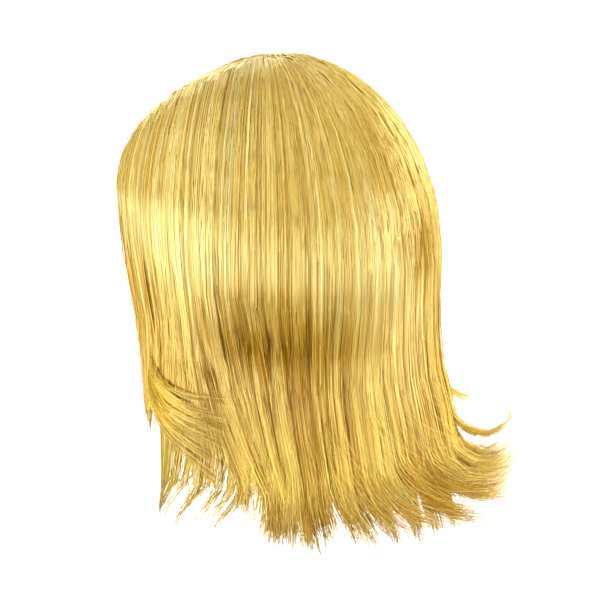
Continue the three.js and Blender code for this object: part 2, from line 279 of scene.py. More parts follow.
for name, turn, rise, away, width, height, power in LAMPS:
    lamp_data = bpy.data.lights.new(name, "AREA")
    lamp_data.shape = "RECTANGLE"
    lamp_data.size = width
    lamp_data.size_y = height
    lamp_data.energy = power
    lamp = bpy.data.objects.new(name, lamp_data)
    set_facing(lamp, np.radians(turn), np.radians(rise), away, np.array([0, 0, AIM_HEIGHT]))

world = bpy.data.worlds.new("studio")
bpy.context.scene.world = world
world.use_nodes = True
nodes = world.node_tree.nodes
links = world.node_tree.links
direction = nodes.new("ShaderNodeTexCoord")
parts = nodes.new("ShaderNodeSeparateXYZ")
strength = nodes.new("ShaderNodeMapRange")
strength.inputs["From Min"].default_value = -SURROUND_BLEND
strength.inputs["From Max"].default_value = SURROUND_BLEND
strength.inputs["To Min"].default_value = SURROUND_BELOW
strength.inputs["To Max"].default_value = SURROUND_ABOVE
links.new(direction.outputs["Generated"], parts.inputs[0])
links.new(parts.outputs["Z"], strength.inputs["Value"])
links.new(strength.outputs[0], nodes["Background"].inputs["Strength"])
nodes["Background"].inputs["Color"].default_value = SURROUND_TINT
bpy.context.scene.view_settings.view_transform = "Standard"
print(len(LAMPS), "lamps")

# %% Floor paper
PAPER_ROUGHNESS = 0.9
PAPER_GLOW = 0.82
PAPER_GLOW_TINT = (1.0, 1.0, 0.985, 1.0)
PAPER_GRAIN = 3.0
PAPER_TONES = ((0.0, (0.86, 0.86, 0.83)), (1.0, (0.90, 0.90, 0.88)))


def new_material(name):
    """A material with its node tree and its shader."""
    material = bpy.data.materials.new(name)
    material.use_nodes = True
    return material, material.node_tree, material.node_tree.nodes["Principled BSDF"]


def ramp(tree, value, stops):
    """A colour ramp node, reading a value through stops of place and colour."""
    node = tree.nodes.new("ShaderNodeValToRGB")
    elements = node.color_ramp.elements
    while len(elements) < len(stops):
        elements.new(0.5)
    for element, (place, colour) in zip(elements, stops):
        element.position = place
        element.color = (*colour, 1.0)
    tree.links.new(value, node.inputs["Fac"])
    return node.outputs["Color"]


paper, paper_tree, paper_shader = new_material("pale_paper")
paper_shader.inputs["Roughness"].default_value = PAPER_ROUGHNESS
paper_shader.inputs["Emission Color"].default_value = PAPER_GLOW_TINT
paper_shader.inputs["Emission Strength"].default_value = PAPER_GLOW
paper_place = paper_tree.nodes.new("ShaderNodeTexCoord")
paper_grain = paper_tree.nodes.new("ShaderNodeTexNoise")
paper_grain.inputs["Scale"].default_value = PAPER_GRAIN
paper_tree.links.new(paper_place.outputs["Object"], paper_grain.inputs["Vector"])
paper_colour = ramp(paper_tree, paper_grain.outputs["Fac"], PAPER_TONES)
paper_tree.links.new(paper_colour, paper_shader.inputs["Base Color"])
print("the paper glows at", PAPER_GLOW, "of full white")

# %% Floor
FLOOR_HEIGHT = -0.42
FLOOR_HALF = 40.0

floor_mesh = bpy.data.meshes.new("floor")
corners = FLOOR_HALF * np.array([[-1, -1, 0], [1, -1, 0], [1, 1, 0], [-1, 1, 0]])
corners[:, 2] = FLOOR_HEIGHT
floor_mesh.from_pydata(corners.tolist(), [], [(0, 1, 2, 3)])
floor = bpy.data.objects.new("floor", floor_mesh)
bpy.context.scene.collection.objects.link(floor)
floor_mesh.materials.append(paper)
floor.visible_diffuse = False
floor.visible_glossy = False
print("floor", 2 * FLOOR_HALF, "m wide at", FLOOR_HEIGHT, "m")


# %% [markdown]
# ## Tubes and shells
# Two kinds of surface make everything here. A strand is a profile carried along a path: a small triangle at
# each point of the path, and one point at its tip. A body of hair is a closed shell: an outer grid, an inner
# grid and walls round their edges. Both are plain arrays, so a whole section is put into one mesh at once.

# %% Strand tubes
SIDES = 3


class Surface(NamedTuple):
    points: np.ndarray
    quads: np.ndarray
    triangles: np.ndarray
    uv: np.ndarray


def strand_tubes(paths, outward, half_widths, tone, stage):
    """A triangle across the path at each point but the last, joined along the path, and closed at a tip."""
    count, length = paths.shape[:2]
    along = unit(np.gradient(paths, axis=1))
    across = unit(np.cross(along, outward))
    lifted = np.cross(across, along)
    angles = np.pi / 2 + 2 * np.pi * np.arange(SIDES) / SIDES
    spokes = np.cos(angles)[:, None] * across[:, :, None] + np.sin(angles)[:, None] * lifted[:, :, None]
    rings = paths[:, :, None] + half_widths[:, :, None, None] * spokes
    points = np.concatenate([rings[:, :-1].reshape(count, -1, 3), paths[:, -1:]], 1)
    ring, side = np.meshgrid(np.arange(length - 2), np.arange(SIDES), indexing="ij")
    this = ring * SIDES + side
    beside = ring * SIDES + (side + 1) % SIDES
    quads = np.stack([this, this + SIDES, beside + SIDES, beside], -1).reshape(-1, 4)
    last = (length - 2) * SIDES
    tip = np.full(SIDES, last + SIDES)
    triangles = np.stack([last + np.arange(SIDES), tip, last + (np.arange(SIDES) + 1) % SIDES], -1)
    triangles = np.concatenate([triangles, [[0, 1, 2]]])
    first = np.arange(count)[:, None, None] * points.shape[1]
    ring_tone = np.concatenate([np.repeat(tone[:, :-1], SIDES, 1), tone[:, -1:]], 1)
    ring_stage = np.concatenate([np.repeat(stage[:, :-1], SIDES, 1), stage[:, -1:]], 1)
    uv = np.stack([ring_tone, ring_stage / 3], -1)
    return Surface(
        points.reshape(-1, 3),
        (first + quads).reshape(-1, 4),
        (first + triangles).reshape(-1, 3),
        uv.reshape(-1, 2),
    )


print("a strand is a tube with", SIDES, "sides")

# %% Closed shells
def closed_shell(outer, inner, tone, stage):
    """Two grids of rows and columns, the second turned inside, joined by walls along all four edges."""
    rows, columns = outer.shape[:2]
    o = np.arange(rows * columns).reshape(rows, columns)
    i = o + rows * columns
    faces = [
        (o[:-1, :-1], o[1:, :-1], o[1:, 1:], o[:-1, 1:]),
        (i[:-1, 1:], i[1:, 1:], i[1:, :-1], i[:-1, :-1]),
        (o[-1, :-1], i[-1, :-1], i[-1, 1:], o[-1, 1:]),
        (o[0, :-1], o[0, 1:], i[0, 1:], i[0, :-1]),
        (o[:-1, 0], i[:-1, 0], i[1:, 0], o[1:, 0]),
        (o[:-1, -1], o[1:, -1], i[1:, -1], i[:-1, -1]),
    ]
    quads = np.concatenate([np.stack(corner, -1).reshape(-1, 4) for corner in faces])
    uv = np.stack(np.broadcast_arrays(tone, stage / 3), -1).reshape(-1, 2)
    points = np.concatenate([outer.reshape(-1, 3), inner.reshape(-1, 3)])
    return Surface(points, quads, np.zeros((0, 3), int), np.concatenate([uv, uv]))


grid = np.zeros((2, 2, 3))
print("faces of the smallest shell:", len(closed_shell(grid, grid, grid[..., 0], grid[..., 0]).quads))

# %% One mesh from several surfaces
TRIANGLES = []


def make_piece(name, surfaces, material, node):
    """Joins surfaces into one mesh, sets it smooth, gives it its material, hangs it on the root, and hides
    the solid it replaces.
    """
    starts = np.cumsum([0] + [len(surface.points) for surface in surfaces])
    points = np.concatenate([surface.points for surface in surfaces])
    uv = np.concatenate([surface.uv for surface in surfaces])
    quads = np.concatenate([surface.quads + start for surface, start in zip(surfaces, starts)])
    triangles = np.concatenate([surface.triangles + start for surface, start in zip(surfaces, starts)])
    loops = np.concatenate([quads.ravel(), triangles.ravel()]).astype(np.int32)
    triangle_starts = quads.size + 3 * np.arange(len(triangles))
    loop_starts = np.concatenate([4 * np.arange(len(quads)), triangle_starts]).astype(np.int32)
    mesh = bpy.data.meshes.new(name)
    mesh.vertices.add(len(points))
    mesh.loops.add(len(loops))
    mesh.polygons.add(len(loop_starts))
    mesh.vertices.foreach_set("co", (points * MM).astype(np.float32).ravel())
    mesh.loops.foreach_set("vertex_index", loops)
    mesh.polygons.foreach_set("loop_start", loop_starts)
    mesh.update(calc_edges=True)
    mesh.shade_smooth()
    if len(uv):
        layer = mesh.uv_layers.new(name="OFBake")
        layer.uv.foreach_set("vector", uv[loops].astype(np.float32).ravel())
    mesh.materials.append(material)
    piece = bpy.data.objects.new(name, mesh)
    bpy.context.scene.collection.objects.link(piece)
    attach(piece, "root")
    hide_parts(node)
    TRIANGLES.append(2 * len(quads) + len(triangles))
    print(name, TRIANGLES[-1], "triangles")


# %% [markdown]
# ## The fibre
# Wig fibre is glossy and dyed in several tones: pale blonde, gold and caramel lie side by side, and the eye
# reads them as one golden blonde. Each strand carries its own tone in the first number of its UV map and its
# place along the length in the second, so one material can colour all of them. The tubes are so thin that
# their rounded sides spread the highlight across the hair, as real fibres do.

# %% Fibre material
HAIR_TONES = (
    (0.0, (0.42, 0.215, 0.018)),
    (0.26, (0.63, 0.35, 0.026)),
    (0.62, (0.85, 0.605, 0.12)),
    (1.0, (1.0, 0.9, 0.56)),
)
UNDER_TONES = ((0.0, (0.3, 0.13, 0.01)), (0.4, (0.52, 0.29, 0.04)), (1.0, (0.95, 0.78, 0.34)))
# Darker roots are the fibre's own colour; the dark band at mid-length is painted shade where the hair draws
# in, and the pale ends are partly painted light.
LENGTH_TONES_PAINTED_SHADE_AND_LIGHT = (
    (0.0, (0.84, 0.85, 0.82)),
    (0.1, (0.88, 0.91, 0.92)),
    (0.36, (0.88, 0.91, 0.9)),
    (0.46, (0.84, 0.74, 0.28)),
    (0.56, (0.85, 0.73, 0.16)),
    (0.68, (1.0, 0.95, 0.31)),
    (0.82, (1.0, 0.94, 0.52)),
    (1.0, (1.0, 0.96, 0.8)),
)
TONE_GLOSS = ((0.0, (0.0,) * 3), (0.18, (0.32,) * 3), (0.32, (0.6,) * 3), (1.0, (0.92,) * 3))
LENGTH_ROUGHNESS = ((0.0, (0.38,) * 3), (0.48, (0.36,) * 3), (0.6, (0.47,) * 3), (1.0, (0.52,) * 3))
GLOSS_TINT = (1.0, 0.93, 0.45, 1.0)
GLOSS_INDEX = 2.45


def fibre_material(name, tones):
    """Colour by tone times colour along the length, painted shade and light included; pale strands are
    glossier, and low ends rougher.
    """
    material, tree, shader = new_material(name)
    place = tree.nodes.new("ShaderNodeUVMap")
    place.uv_map = "OFBake"
    split = tree.nodes.new("ShaderNodeSeparateXYZ")
    tree.links.new(place.outputs["UV"], split.inputs[0])
    blend = tree.nodes.new("ShaderNodeMix")
    blend.data_type = "RGBA"
    blend.blend_type = "MULTIPLY"
    blend.inputs["Factor"].default_value = 1.0
    tree.links.new(ramp(tree, split.outputs["X"], tones), blend.inputs["A"])
    tree.links.new(ramp(tree, split.outputs["Y"], LENGTH_TONES_PAINTED_SHADE_AND_LIGHT), blend.inputs["B"])
    tree.links.new(blend.outputs["Result"], shader.inputs["Base Color"])
    tree.links.new(ramp(tree, split.outputs["Y"], LENGTH_ROUGHNESS), shader.inputs["Roughness"])
    tree.links.new(ramp(tree, split.outputs["X"], TONE_GLOSS), shader.inputs["Specular IOR Level"])
    shader.inputs["Specular Tint"].default_value = GLOSS_TINT
    shader.inputs["IOR"].default_value = GLOSS_INDEX
    return material


hair_fibre = fibre_material("hair_fibre", HAIR_TONES)
under_fibre = fibre_material("under_fibre", UNDER_TONES)
print("fibre tones:", len(HAIR_TONES), "stops")

# %% [markdown]
# ## The outer sections
# The hair is cut in layers and hangs in locks whose ends flip outwards. Each section is a sector of the head
# with six locks, and each lock has a few finer wisps. It could be combed by hand with hair tools. Here the
# cut is a few rows of numbers round the head, so the length or the flip of one place can be changed alone.

# %% Sections and their locks
class Section(NamedTuple):
    name: str
    start: float
    end: float
    stagger: float
    strands: int
    body_drop: float


SECTIONS = (
    Section("hair_front_left", 142, 106, 8, 1200, 196),
    Section("hair_side_left", 106, 66, 4, 1300, 218),
    Section("hair_back_left", 66, 22, 5, 1400, 254),
    Section("hair_back_centre", 22, -22, 6, 1400, 252),
    Section("hair_back_right", -22, -66, 6, 1400, 240),
    Section("hair_side_right", -66, -106, 6, 1250, 226),
    Section("hair_front_right", -106, -142, 8, 1100, 196),
)
LOCKS = 6
LOCK_STAGGER = np.array([0.2, -1, 0.6, -0.4, 1, -0.7])
WISPS = 22
SEED = 20260
print(sum(section.strands for section in SECTIONS), "strands in", len(SECTIONS), "sections")

# %% The cut, in rows round the head
# Each row has one value for each of these bearings, from the right of the face round the back to its left.
BEARINGS = (-142, -106, -94, -84, -70, -58, -42, -28, -10, 15, 36, 60, 84, 94, 106, 142)
FLIP_DROP = (212, 210, 230, 266, 264, 256, 258, 254, 251, 254, 262, 272, 268, 224, 212, 222)
FLIP_RADIUS = (300, 300, 300, 60, 36, 20, 19, 21, 24, 26, 34, 48, 60, 300, 300, 300)
FLIP_TURN = (6, 5, 5, 24, 65, 145, 162, 148, 132, 108, 64, 36, 24, 5, 5, 6)
LEAN = (0, 0, 0, 0, -1, -2, -3, -4, -4, -4, -6, -14, -24, -8, 0, 3)
SWEEP = (0, 0, 0, 0, 0, 0, -3, -8, -14, -14, -6, 0, 0, 0, 0, 0)
TIP_PULL = (0.2, 0.2, 0.2, 0.2, 0.35, 0.6, 0.65, 0.5, 0.2, 0.15, 0.15, 0.15, 0.2, 0.2, 0.3, 0.3)
LAYERED = (0.5, 0.6, 0.6, 0.5, 0.3, 0.06, 0.04, 0.04, 0.06, 0.08, 0.12, 0.12, 0.25, 0.4, 0.5, 0.5)
WISP_CUT = (10, 10, 10, 10, 12, 12, 12, 10, 8, 6, 6, 8, 12, 14, 14, 16)
# Painted shade and light at the ends: above zero the ends darken where the flips' undersides lie in shade;
# below zero the thin wing ends are paler, for the light through them.
TIP_PAINTED_SHADE_AND_LIGHT = (0, 0, 0, 0, -0.1, -0.3, -0.3, -0.05, 0.28, 0.26, 0.22, 0.2, 0.1, 0, 0, 0)
# A tuft is a narrow curl of its own: bearing, half width, and then the drop, radius and turn of its flip.
TUFTS = ((-40, 1.6, 213, 15, 118), (-27, 1.7, 225, 20, 190), (59, 0.7, 284, 60, 25), (54, 0.6, 280, 60, 34))


def cut_at(around, row):
    """The value of one of the rows at a bearing, on straight lines between its values."""
    return np.interp(around, BEARINGS, row)


print("the back flips", cut_at(0, FLIP_DROP), "mm below the top")

# %% Thickness, grooves and lean
HAIR_DEPTH = 14.2
LOW_DEPTH = 7.0
FACE_DEPTH = 4.0
THINS_FROM = 130.0
THINS_TO = 230.0
FACE_THINS_SOONER = 40.0
GROOVE = 0.9
ROOT_DIP = 2.4
ROOT_LIFT = 0.16
LEANS_FROM = 180.0
LEANS_TO = 315.0


def hair_depth(bearing, drop):
    """Thickness of the outer hair: it thins below the cap, and earlier and more beside the face."""
    near_face = smooth(np.radians(120), np.radians(142), np.abs(bearing))
    sooner = FACE_THINS_SOONER * near_face
    thin = smooth(THINS_FROM - sooner, THINS_TO - sooner, drop)
    return lerp(HAIR_DEPTH, lerp(LOW_DEPTH, FACE_DEPTH, near_face), thin)


def section_depth(bearing, stage, drop):
    """Thickness of a section: full over the dome, and that of the hair below it."""
    return np.where(stage < 1, HAIR_DEPTH, hair_depth(bearing, drop))


def groove_depth(across, stage):
    """Depth of the grooves between locks: none on a crest, full on a lock's edge, gone again at the tips."""
    place = 2 * np.mod(across * LOCKS, 1) - 1
    return GROOVE * place ** 2 * smooth(0.4, 1.6, stage) * np.clip(3 - stage, 0, 1)


def root_dip(stage):
    """Depth of the valley along the parting, which the hair leaves within a short way."""
    return ROOT_DIP * (1 - smooth(0, ROOT_LIFT, stage))


def hairline(bearing, stage):
    """0 on most of the head, rising to 1 at the front edge, where the hair is rounded off to the face."""
    return smooth(np.radians(136), np.radians(143), np.abs(bearing)) * smooth(0.05, 0.4, stage)


def leaning(bearing, drop):
    """How far a strand has turned round the head on its way down, as side hair is brushed to the back."""
    lean = np.radians(through(BEARINGS, LEAN, np.degrees(bearing)))
    return lean * smooth(LEANS_FROM, LEANS_TO, drop)


print("the hair is", HAIR_DEPTH, "mm thick on the dome and", LOW_DEPTH, "mm at its ends")

# %% Streaks, and places of painted shade and painted highlight
TONE_LIMITS = (0.02, 0.98)
BROAD_WAVES = ((5, 0.4, 0.5), (19, 1.9, 0.5), (47, 0.7, 0.8))
FINE_WAVES = ((113, 2.6, 1.0), (241, 5.1, 1.0), (467, 3.3, 0.8))
# Places of painted shade and painted highlight: bearing and drop of a place, its half width in degrees, its
# half height, and how much darker it is (below zero, how much paler).
PAINTED_SHADE_AND_HIGHLIGHT = (
    (-8, 119, 11, 22, 0.62),
    (-10, 166, 10, 20, -0.1),
    (0, 250, 14, 24, 0.3),
    (60, 190, 24, 16, 0.25),
    (88, 210, 14, 28, 0.28),
    (36, 230, 9, 20, 0.17),
    (27, 164, 10, 12, -0.12),
    (92, 140, 14, 22, -0.15),
    (8, 56, 24, 30, 0.16),
)


def streaks(bearing):
    """A tone that changes round the head: waves of several widths, laid over each other."""
    waves = BROAD_WAVES + FINE_WAVES
    return sum(height * np.sin(rate * bearing + shift) for rate, shift, height in waves) / 3


print(len(PAINTED_SHADE_AND_HIGHLIGHT), "places are darker or paler than the rest")

# %% [markdown]
# ## Strands that differ
# Strands leave the parting or come out between others further down the dome, run down side by side, and are
# drawn together into wisps near their ends. Small differences make them look like hair, and each of the next
# cells draws one kind for all strands of a section at once. Some are drawn for each strand and some for each
# wisp, because hairs that lie together also behave alike.

# %% Where strands start and end
DOME_STEPS = np.arange(6) / 6
FALL_STEPS = np.arange(5) / 5
FLIP_STEPS = np.arange(5) / 4
KNEE_SHARE = 0.7
BUNCHING = (0.8, 1.25)
WISP_WIDTHS = (0.4, 1.6)
PARTING_SHARE = 0.34
PARTING_ZONE = 0.03
LAST_START = 0.96
EARLY_END = 0.75


class Run(NamedTuple):
    across: np.ndarray
    wisp: np.ndarray
    middle: np.ndarray
    first: np.ndarray
    last: np.ndarray
    stage: np.ndarray


def strand_stages(first, last, bunch):
    """Stages of a strand's points: some over the dome, bunched at either end, then the fall and the flip."""
    knee = np.minimum(2, lerp(1, last, KNEE_SHARE))
    dome = lerp(first, 1, DOME_STEPS ** bunch)
    fall = lerp(1, knee, FALL_STEPS)
    flip = lerp(knee, last, FLIP_STEPS)
    return np.concatenate([dome, fall, flip], 1)


def uneven_wisps(rng):
    """Edges that part a section into wisps of uneven width, and the middle of each wisp."""
    edges = np.cumsum(rng.uniform(*WISP_WIDTHS, WISPS))
    edges = np.concatenate([[0], edges / edges[-1]])
    return edges, (edges[1:] + edges[:-1]) / 2


def side_by_side(count, rng):
    """Shares of a section's width, one for each strand: even steps with a random place in each."""
    return ((np.arange(count) + rng.random(count)) / count)[:, None]


def strand_runs(count, rng):
    """Strands side by side: a share start at the parting, the rest all over the dome, and some end early."""
    each = (count, 1)
    across = side_by_side(count, rng)
    edges, middles = uneven_wisps(rng)
    wisp = np.clip(np.searchsorted(edges, across) - 1, 0, WISPS - 1)
    on_dome = 2 / np.pi * np.arcsin(LAST_START * rng.random(each))
    first = np.where(rng.random(each) < PARTING_SHARE, PARTING_ZONE * rng.random(each), on_dome)
    last = 3 - EARLY_END * rng.random(each) ** 1.5
    stage = strand_stages(first, last, rng.uniform(*BUNCHING, WISPS)[wisp])
    return Run(across, wisp, middles[wisp], first, last, stage)


print(len(DOME_STEPS) + len(FALL_STEPS) + len(FLIP_STEPS), "points in a strand")

# %% How strands are cut and flipped
LAYER_LENGTH = 48.0
LAYER_POWERS = (1.6, 0.6)
WISP_DROP = 2.5
OWN_DROP = 3.0
WISP_RADIUS = (0.9, 1.12)
WISP_TURN = 0.1
OWN_TURN = 0.08
TURN_LIMIT = 3
SHORT_TURN = 0.7
TUFT_SPREAD = 7.0
# Painted light: the ends of the tufts are paler, for the light through their thin curls.
TUFT_PAINTED_LIGHT = -0.4


class Flip(NamedTuple):
    drop: np.ndarray
    radius: np.ndarray
    turn: np.ndarray
    # The painted shade and light at the end of a strand.
    shade: np.ndarray


def strand_flips(section, run, rng):
    """Flips follow the rows of the cut; layers, locks and wisps are longer or shorter, and tufts curl."""
    each = run.across.shape
    around = lerp(section.start, section.end, run.across)
    lock = np.floor(run.across * LOCKS).astype(int)
    layered = cut_at(around, LAYERED)
    is_short = rng.random(each) < layered
    shorter = np.where(is_short, LAYER_LENGTH * rng.random(each) ** lerp(*LAYER_POWERS, layered), 0)
    shorter = shorter + cut_at(around, WISP_CUT) * rng.random(WISPS)[run.wisp] ** 3
    longer = LOCK_STAGGER[lock] * section.stagger + rng.normal(0, WISP_DROP, WISPS)[run.wisp]
    longer = longer + rng.normal(0, OWN_DROP, each)
    drop = cut_at(around, FLIP_DROP) + longer - shorter
    radius = cut_at(around, FLIP_RADIUS) * rng.uniform(*WISP_RADIUS, WISPS)[run.wisp]
    own_turn = 1 + rng.normal(0, WISP_TURN, WISPS)[run.wisp]
    own_turn = own_turn + OWN_TURN * np.clip(rng.standard_t(3, each), -TURN_LIMIT, TURN_LIMIT)
    turn = np.radians(cut_at(around, FLIP_TURN)) * own_turn * np.where(is_short, SHORT_TURN, 1)
    # The ends' painted shade and light; tufts get painted light instead.
    tip_painted_shade_and_light = cut_at(around, TIP_PAINTED_SHADE_AND_LIGHT)
    for middle, half_width, tuft_drop, tuft_radius, tuft_turn in TUFTS:
        in_tuft = np.abs(around - middle) < half_width
        spread = (3 - run.last) * rng.uniform(-TUFT_SPREAD, TUFT_SPREAD, each)
        drop = np.where(in_tuft, tuft_drop + spread, drop)
        radius = np.where(in_tuft, tuft_radius, radius)
        turn = np.where(in_tuft, np.radians(tuft_turn), turn)
        tip_painted_shade_and_light = np.where(in_tuft, TUFT_PAINTED_LIGHT, tip_painted_shade_and_light)
    return Flip(drop, radius, turn, tip_painted_shade_and_light)


print("layers are up to", LAYER_LENGTH, "mm shorter")

# %% Where strands go
HOLD = (0.5, 1.3)
DOME_PULL = 0.1
FALL_PULL = 0.12
WAVE_RATES = (1, 3)
WAVE_STARTS = (0, 6)
WAVE_SWAY = 0.3
OWN_DRIFT = 0.9
WISP_DRIFT = 1.4
END_DRIFT = 2.2
LOOSE_SHARE = 0.015
LOOSE_DRIFT = 6.0
ROUND = 105.0


def strand_courses(section, run, flip, rng):
    """Down the bearing, drawn to the wisp's middle, with a wave and drifts that grow towards the end."""
    each = run.across.shape
    stage = run.stage
    around = lerp(section.start, section.end, run.across)
    hold = rng.uniform(*HOLD, WISPS)[run.wisp]
    pull = DOME_PULL * smooth(0.5, 1.3, stage) + FALL_PULL * smooth(1.3, 2, stage)
    pull = pull + cut_at(around, TIP_PULL) * smooth(2, 3, stage)
    place = lerp(run.across, run.middle, hold * pull)
    bearing = np.radians(lerp(section.start, section.end, place))
    drop = lerp(widest_drop(bearing), flip.drop, np.clip(stage - 1, 0, 1))
    wave = rng.uniform(*WAVE_RATES, each) * stage + rng.uniform(*WAVE_STARTS, each)
    sway = rng.normal(0, WAVE_SWAY, each) * np.sin(wave) * smooth(0.2, 1.5, stage)
    sway = sway + rng.normal(0, OWN_DRIFT, each) * smooth(0.3, 2, stage)
    sway = sway + rng.normal(0, WISP_DRIFT, WISPS)[run.wisp] * smooth(1.2, 3, stage)
    sway = sway + rng.normal(0, END_DRIFT, each) * smooth(1.6, 3, stage)
    astray = np.where(rng.random(each) < LOOSE_SHARE, rng.normal(0, LOOSE_DRIFT, each), 0)
    sway = sway + astray * smooth(0.4, 2.4, stage)
    sweep = np.radians(cut_at(around, SWEEP)) * np.clip(stage - 2, 0, 1) ** 1.5
    return place, bearing + leaning(bearing, drop) + sweep + sway / ROUND, drop


print("strands drift by about", END_DRIFT, "mm at their ends")

# %% How deep strands lie
TOP_DEPTH = 0.2
LAYER_DEPTH = 2.0
LOWER_LAYER = 0.3
ROOT_DEPTH = 4.5
ROOT_RUN = 0.14
WISP_RATES = (2, 4)
WISP_DEPTHS = (0.1, 0.6)
TIP_DEPTH = 0.6
WISP_SHIFT = 4.5
LOOSE_STAND = (1, 5)
FUZZ_SHARE = 0.05
FUZZ_STAND = 0.3
FUZZ_SPREAD = 1.9


def strand_depths(run, place, bearing, drop, rng):
    """Layers below the surface, deeper at roots, grooves and some wisps; loose and fuzzy hairs stand out."""
    each = run.across.shape
    stage = run.stage
    from_dome = run.first > PARTING_ZONE
    layer = rng.random(each) ** 1.6
    layer = np.where(from_dome, lerp(LOWER_LAYER, 1, layer), layer)
    rising = smooth(0, ROOT_RUN, stage - run.first)
    buried = np.where(from_dome, ROOT_DEPTH * (1 - rising), 0)
    wave = rng.uniform(*WISP_RATES, WISPS)[run.wisp] * stage + rng.uniform(*WAVE_STARTS, WISPS)[run.wisp]
    wisp_depth = rng.uniform(*WISP_DEPTHS, WISPS)[run.wisp] * (1 + np.sin(wave)) * smooth(0.4, 1.8, stage)
    depth = TOP_DEPTH + LAYER_DEPTH * layer + np.maximum(root_dip(stage), buried)
    depth = depth + groove_depth(place, stage) + wisp_depth
    room = section_depth(bearing, stage, drop) - depth
    depth = depth + room * hairline(bearing, stage) * rng.random(each)
    depth = depth * lerp(1, TIP_DEPTH, smooth(2, 3, stage))
    shifted = drop + rng.normal(0, WISP_SHIFT, WISPS)[run.wisp]
    depth = depth + fall_offset(bearing, drop) - fall_offset(bearing, shifted)
    is_loose = rng.random(each) < LOOSE_SHARE
    depth = depth - np.where(is_loose, rng.uniform(*LOOSE_STAND, each), 0) * smooth(0.6, 2.4, stage)
    is_fuzz = rng.random(each) < FUZZ_SHARE
    fuzz = np.where(is_fuzz, FUZZ_STAND + FUZZ_SPREAD * rng.random(each) ** 2, 0)
    depth = depth - fuzz * smooth(0.05, 0.5, stage - run.first) * (1 - smooth(1.5, 3, stage))
    return depth, layer, is_fuzz


print("strands fill the outer", TOP_DEPTH + LAYER_DEPTH, "mm")

# %% How wide strands are, and which tone they have
STRAND_HALF_WIDTH = 0.28
OWN_WIDTHS = (0.75, 1.25)
FUZZ_WIDTH = 0.6
ROOT_WIDTH = 0.75
TIP_WIDTH = 0.3
MEAN_TONE = 0.54
STREAK_TONE = 0.28
OWN_TONE = 0.25
DOME_SHARE = 0.55
FALL_SHARE = 0.7
# Painted shade: a strand that lies deeper under the others is darker by up to this much.
LAYER_PAINTED_SHADE = 0.12
LOW_TONE = 0.25
LOW_WISP_TONE = 0.3
# Painted light: the lower fall is paler by this much, for the light the floor throws up onto it.
LOWER_PAINTED_LIGHT = 0.09


def strand_widths(run, is_fuzz, rng):
    """Half widths: narrower at the root and the tip, and for fuzz."""
    taper = lerp(ROOT_WIDTH, 1, smooth(0, 0.2, run.stage - run.first))
    taper = taper * lerp(1, TIP_WIDTH, smooth(1.7, 3, run.stage))
    own = rng.uniform(*OWN_WIDTHS, run.across.shape) * np.where(is_fuzz, FUZZ_WIDTH, 1)
    return STRAND_HALF_WIDTH * own * taper


def strand_tones(run, flip, bearing, drop, layer, rng):
    """A mean, the streaks of the place and an own tone; painted shade on deeper strands, painted shade and
    highlight on some places, painted light low on the fall, and painted shade and light at the ends.
    """
    stage = run.stage
    streak = streaks(bearing[:, :1])
    own = rng.normal(0, OWN_TONE, run.across.shape) * lerp(DOME_SHARE, FALL_SHARE, smooth(0.5, 1.2, stage))
    low = 0.5 * streak + rng.normal(0, LOW_WISP_TONE, WISPS)[run.wisp]
    # Deeper strands are darker: painted shade.
    tone = MEAN_TONE + STREAK_TONE * streak + own - LAYER_PAINTED_SHADE * layer
    # Wisps differ in tone low down, and the lower fall is paler as painted light.
    tone = tone + LOW_TONE * low * smooth(1, 1.6, stage) + LOWER_PAINTED_LIGHT * smooth(1.5, 2.1, stage)
    # Painted shade and painted highlight: darker and paler places laid over the tone, placed by their drop
    # on the dome as well.
    dome_drop = widest_drop(bearing) * (1 - np.cos(np.pi / 2 * stage))
    tone = tone - patches(PAINTED_SHADE_AND_HIGHLIGHT, bearing, np.where(stage < 1, dome_drop, drop))
    # Painted shade and light at the ends: darker flip undersides, paler wing and tuft ends.
    tone = tone - flip.shade * smooth(2.3, 2.9, stage)
    return np.clip(tone, *TONE_LIMITS)


print("a strand is", 2 * STRAND_HALF_WIDTH, "mm wide")

# %% The strands of a section
def section_strands(section, rng):
    """Tubes along the paths that the runs, flips, courses and depths give."""
    run = strand_runs(section.strands, rng)
    flip = strand_flips(section, run, rng)
    place, bearing, drop = strand_courses(section, run, flip, rng)
    depth, layer, is_fuzz = strand_depths(run, place, bearing, drop, rng)
    paths = combed_points(bearing, run.stage, depth, flip.drop, flip.radius, flip.turn)
    outside = combed_points(bearing, run.stage, depth - 1, flip.drop, flip.radius, flip.turn)
    widths = strand_widths(run, is_fuzz, rng)
    tone = strand_tones(run, flip, bearing, drop, layer, rng)
    return strand_tubes(paths, outside - paths, widths, tone, run.stage)


print("about", round(np.mean([section.strands for section in SECTIONS]) / WISPS), "strands in a wisp")

# %% [markdown]
# ## A body below the strands
# Real hair is so dense that nothing shows through. Strands all the way down would take too many triangles,
# so each section has a closed shell just below its strands, in a middle tone and with the same grooves. It
# ends above the tips, which stay loose.

# %% The body of a section
BODY_COLUMNS = 72
BODY_ROWS = 18
BODY_DEPTH = 2.5
BODY_FALL_DEPTH = 1.2
BODY_WALL = 0.8
BODY_STAGGER = 0.6
BODY_RAGGED = 4.0
BODY_TONE = 0.46
BODY_STREAKS = 0.14
BODY_OWN_TONE = 0.12


